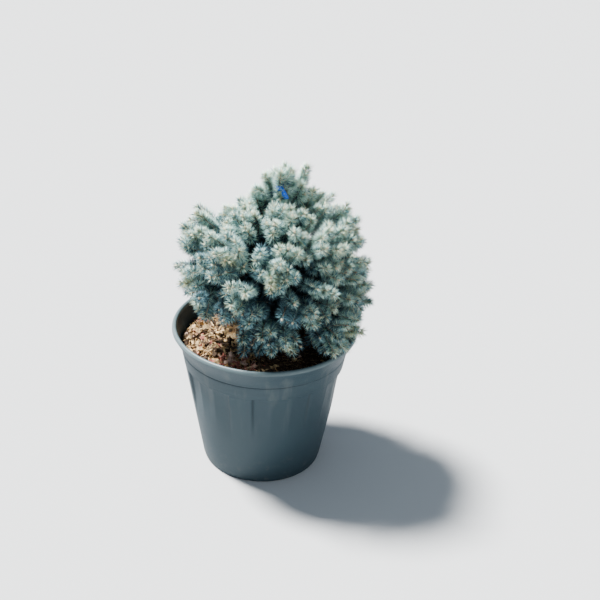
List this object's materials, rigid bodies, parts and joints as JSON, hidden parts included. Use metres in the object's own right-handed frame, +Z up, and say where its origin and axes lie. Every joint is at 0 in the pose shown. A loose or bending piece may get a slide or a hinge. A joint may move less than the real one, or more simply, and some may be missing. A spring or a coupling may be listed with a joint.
{
  "type": "potted dwarf blue spruce",
  "caption": "Dwarf globe blue spruce with dense silver-blue foliage, growing in a round grey-green plastic nursery pot filled with bark.",
  "frame": {"origin": "middle of the pot's flat underside", "axes": "+Z up along the pot's axis, +X to the right and -Y towards the picture's camera"},
  "size_m": [0.417, 0.3955, 0.6662],
  "materials": {
    "pot_plastic": "matte grey-green moulded plastic",
    "potting_bark": "chipped bark and dry needles",
    "bark": "rough scaly bark",
    "needles": "waxy silver-blue needles"
  },
  "bodies": {
    "root": {"bough_low_1": "bark", "bough_low_2": "bark", "bough_low_3": "bark", "bough_low_4": "bark", "bough_low_5": "bark", "bough_mid_1": "bark", "bough_mid_2": "bark", "bough_mid_3": "bark", "bough_mid_4": "bark", "bough_mid_5": "bark", "bough_mid_6": "bark", "bough_mid_7": "bark", "bough_upper_1": "bark", "bough_upper_2": "bark", "bough_upper_3": "bark", "bough_upper_4": "bark", "bough_wide_1": "bark", "bough_wide_2": "bark", "bough_wide_3": "bark", "bough_wide_4": "bark", "bough_wide_5": "bark", "bough_wide_6": "bark", "bough_wide_7": "bark", "foliage_leader": "needles", "foliage_low_1": "needles", "foliage_low_2": "needles", "foliage_low_3": "needles", "foliage_low_4": "needles", "foliage_low_5": "needles", "foliage_mid_1": "needles", "foliage_mid_2": "needles", "foliage_mid_3": "needles", "foliage_mid_4": "needles", "foliage_mid_5": "needles", "foliage_mid_6": "needles", "foliage_mid_7": "needles", "foliage_upper_1": "needles", "foliage_upper_2": "needles", "foliage_upper_3": "needles", "foliage_upper_4": "needles", "foliage_wide_1": "needles", "foliage_wide_2": "needles", "foliage_wide_3": "needles", "foliage_wide_4": "needles", "foliage_wide_5": "needles", "foliage_wide_6": "needles", "foliage_wide_7": "needles", "pot": "pot_plastic", "soil": "potting_bark", "trunk": "bark"}
  },
  "joints": []
}
